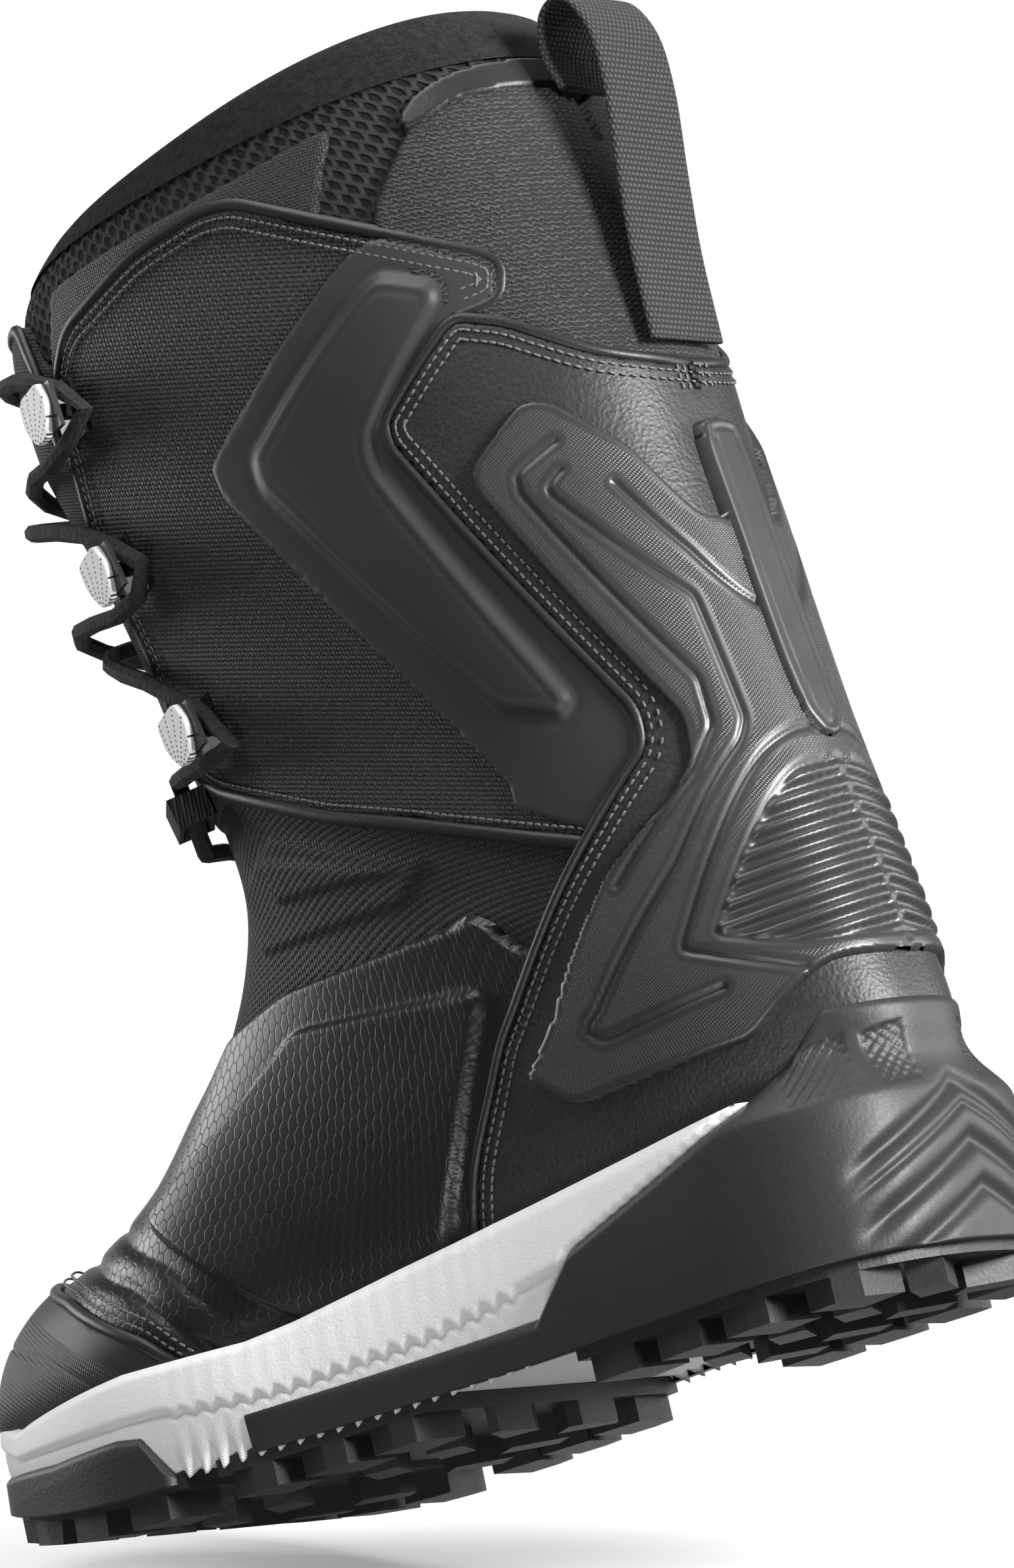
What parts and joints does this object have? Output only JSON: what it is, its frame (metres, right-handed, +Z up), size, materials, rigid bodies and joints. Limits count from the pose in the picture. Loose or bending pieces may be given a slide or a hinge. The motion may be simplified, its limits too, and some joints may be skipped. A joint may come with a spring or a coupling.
{
  "type": "lace-up snowboard boot",
  "caption": "Tall lace-up snowboard boot with padded liner, stitched shell panels, moulded backstay, speed hooks, pull loop and lugged sole.",
  "frame": {"origin": "on the ground, under the middle of the boot's length and width", "axes": "+X from toe to heel, -Y to the lateral side, +Z up the shaft"},
  "size_m": [0.306, 0.117, 0.331],
  "materials": {
    "leather": "matte grained black",
    "fabric": "woven black",
    "rubber": "matte black",
    "overlay": "satin dark grey",
    "foam": "matte white foam",
    "lining": "knitted black",
    "board": "matte",
    "hook": "moulded black",
    "plate": "matte white",
    "lace": "braided black"
  },
  "bodies": {
    "foot": {"lasting_board": "board", "vamp": "leather", "quarter_lower": "leather", "toe_cap": "rubber", "toe_binding": "fabric", "toe_puff": "board", "heel_stiffener": "board", "shank": "board", "instep_gusset": "fabric", "liner_foot": "lining", "footbed": "foam", "midsole": "foam", "heel_counter": "rubber", "toe_bumper": "rubber", "tread_forefoot": "rubber", "tread_middle": "rubber", "tread_heel": "rubber"},
    "shaft": {"quarter_upper": "leather", "cuff_flap_lateral": "fabric", "cuff_overlay_lateral": "overlay", "cuff_flap_medial": "fabric", "cuff_overlay_medial": "overlay", "backstay": "overlay", "back_spine": "rubber", "tongue": "fabric", "liner_cuff": "lining", "liner_collar_band": "lining", "hook_lateral_low": "hook", "hook_plate_lateral_low": "plate", "hook_lateral_middle": "hook", "hook_plate_lateral_middle": "plate", "hook_lateral_top": "hook", "hook_plate_lateral_top": "plate", "hook_medial_low": "hook", "hook_plate_medial_low": "plate", "hook_medial_middle": "hook", "hook_plate_medial_middle": "plate", "hook_medial_top": "hook", "hook_plate_medial_top": "plate", "lace": "lace", "lace_loop_lateral": "fabric", "lace_loop_medial": "fabric", "pull_loop": "fabric"}
  },
  "joints": [
    {"name": "ankle_flex", "type": "hinge", "parent": "foot", "child": "shaft", "pos_m": [0.062, 0, 0.088], "axis": [0, -1, 0], "range_deg": [0, 14], "stiffness_Nm_per_rad": 60}
  ]
}
